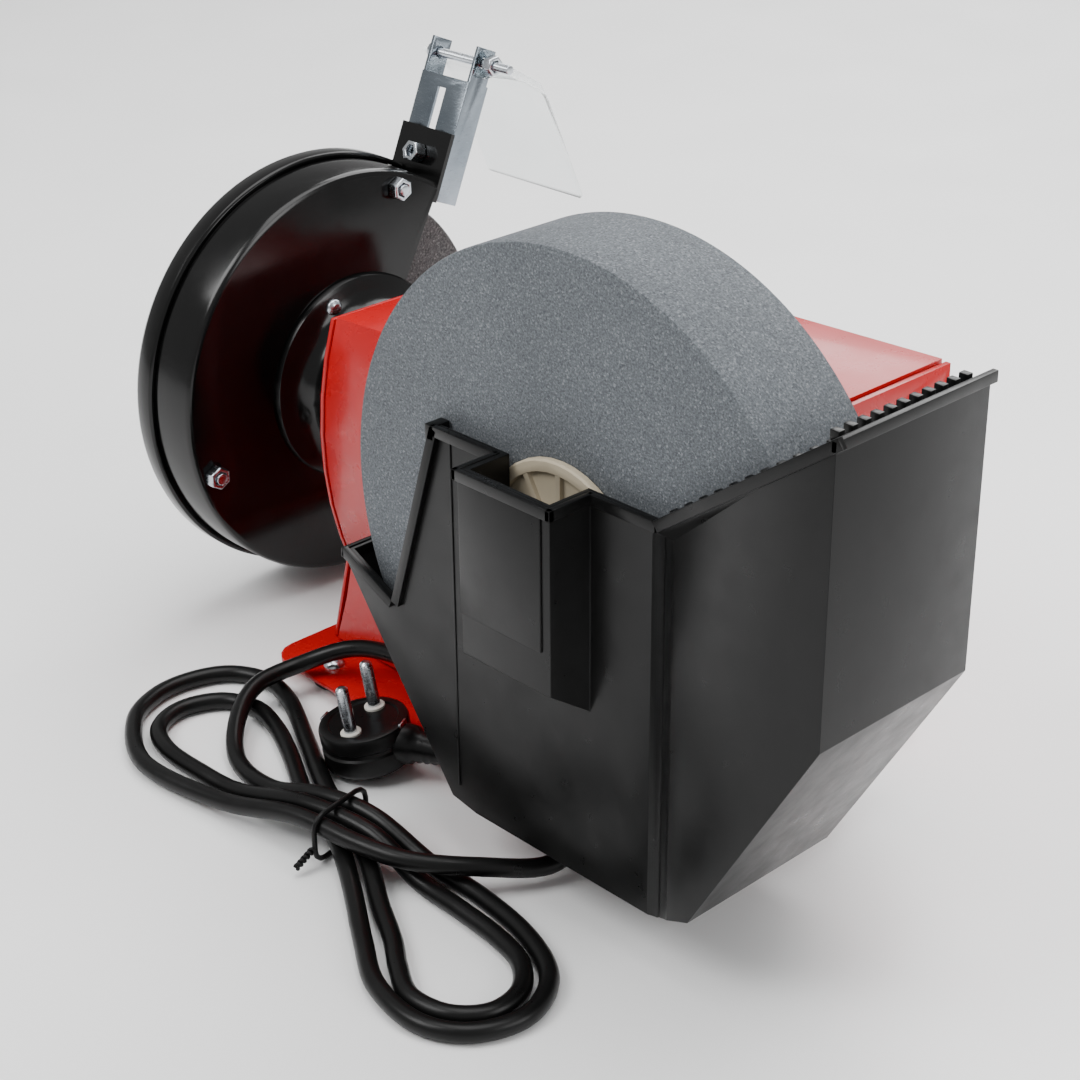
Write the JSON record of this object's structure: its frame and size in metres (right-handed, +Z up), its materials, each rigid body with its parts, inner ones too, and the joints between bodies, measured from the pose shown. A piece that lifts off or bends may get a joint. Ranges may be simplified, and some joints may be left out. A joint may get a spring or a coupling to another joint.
{
  "type": "wet grinding sharpener",
  "caption": "Bench sharpener with a slow wide wet stone in a water trough, worm driven by the motor that turns a fast guarded dry wheel.",
  "frame": {"origin": "centre of the standing footprint, on the floor under the feet (bottom centre of the machine's box, cord left out)", "axes": "+X from the dry wheel to the wet wheel along the motor shaft, +Y from the wet wheel's face into the machine, +Z up"},
  "size_m": [0.3964, 0.3164, 0.232],
  "materials": {
    "red_paint": "glossy red enamel",
    "black_paint": "glossy black enamel",
    "black_plastic": "satin moulded black plastic",
    "rocker_plastic": "gloss moulded red plastic",
    "clear_plastic": "clear polycarbonate sheet",
    "beige_plastic": "satin moulded beige plastic",
    "wet_stone": "matt vitrified grey abrasive grain",
    "dry_stone": "matt vitrified grey-brown abrasive grain",
    "zinc": "bright zinc plate",
    "steel": "turned steel",
    "lamination": "stacked steel laminations",
    "copper": "varnished copper wire",
    "bronze": "machined bronze",
    "aluminium": "as-cast aluminium",
    "rubber": "matt black rubber",
    "nylon": "natural nylon"
  },
  "bodies": {
    "frame": {"housing_shell": "red_paint", "end_plate_dry": "red_paint", "end_cover_wet": "red_paint", "cover_screw_1": "zinc", "cover_screw_2": "zinc", "base_plate": "red_paint", "foot_1": "rubber", "foot_2": "rubber", "foot_3": "rubber", "foot_4": "rubber", "skirt_front": "red_paint", "skirt_back": "red_paint", "motor_stator": "lamination", "winding_dry_end": "copper", "winding_gear_end": "copper", "bearing_dry": "steel", "bearing_worm": "steel", "gear_case": "aluminium", "gear_case_lid": "aluminium", "wet_bush_front": "bronze", "wet_bush_back": "bronze", "guard_housing": "black_paint", "guard_cover": "black_paint", "guard_boss": "black_paint", "boss_screw": "zinc", "guard_bolt_1": "zinc", "guard_bolt_2": "zinc", "guard_bolt_3": "zinc", "guard_nut_1": "zinc", "guard_nut_2": "zinc", "guard_nut_3": "zinc", "deflector_bolt": "zinc", "deflector_dome_nut": "zinc", "deflector_nut": "zinc", "tool_rest_screw": "zinc", "water_trough": "black_plastic", "switch_case": "black_plastic", "cord_gland": "black_plastic", "power_cord": "rubber", "power_plug": "black_plastic", "cord_tie": "black_plastic"},
    "motor_rotor": {"motor_shaft": "steel", "rotor": "lamination", "cooling_fan": "nylon", "worm": "steel", "dry_wheel": "dry_stone", "dry_flange_inner": "zinc", "dry_flange_outer": "zinc", "dry_wheel_nut": "zinc"},
    "wet_spindle": {"wet_shaft": "steel", "worm_wheel": "bronze", "wet_wheel": "wet_stone", "wet_flange_inner": "zinc", "wheel_nut": "beige_plastic"},
    "deflector": {"deflector_bracket": "zinc", "shield_pivot_bolt": "zinc", "shield_pivot_nut": "zinc"},
    "shield": {"eye_shield": "clear_plastic"},
    "rest": {"tool_rest": "zinc"},
    "rocker": {"switch_rocker": "rocker_plastic"}
  },
  "joints": [
    {"name": "motor_spin", "type": "hinge", "parent": "frame", "child": "motor_rotor", "pos_m": [0.08975, 0.00554, 0.092], "axis": [1, 0, 0], "continuous": true},
    {"name": "wet_spin", "type": "hinge", "parent": "frame", "child": "wet_spindle", "pos_m": [0.08975, -0.10546, 0.132], "axis": [0, 1, 0], "continuous": true},
    {"name": "deflector_slide", "type": "slide", "parent": "frame", "child": "deflector", "axis": [0, 0.3907, 0.9205], "range_m": [-0.0025, 0.0065]},
    {"name": "shield_tilt", "type": "hinge", "parent": "deflector", "child": "shield", "pos_m": [-0.14825, 0.08054, 0.2092], "axis": [1, 0, 0], "range_deg": [-8, 75]},
    {"name": "rest_slide", "type": "slide", "parent": "frame", "child": "rest", "axis": [0, 1, 0], "range_m": [0, 0.012]},
    {"name": "switch_rock", "type": "hinge", "parent": "frame", "child": "rocker", "pos_m": [-0.04025, 0.06354, 0.092], "axis": [-1, 0, 0], "range_deg": [0, 20]}
  ],
  "couplings": [
    {"joint": "wet_spin", "follows": "motor_spin", "ratio": -0.045455}
  ]
}
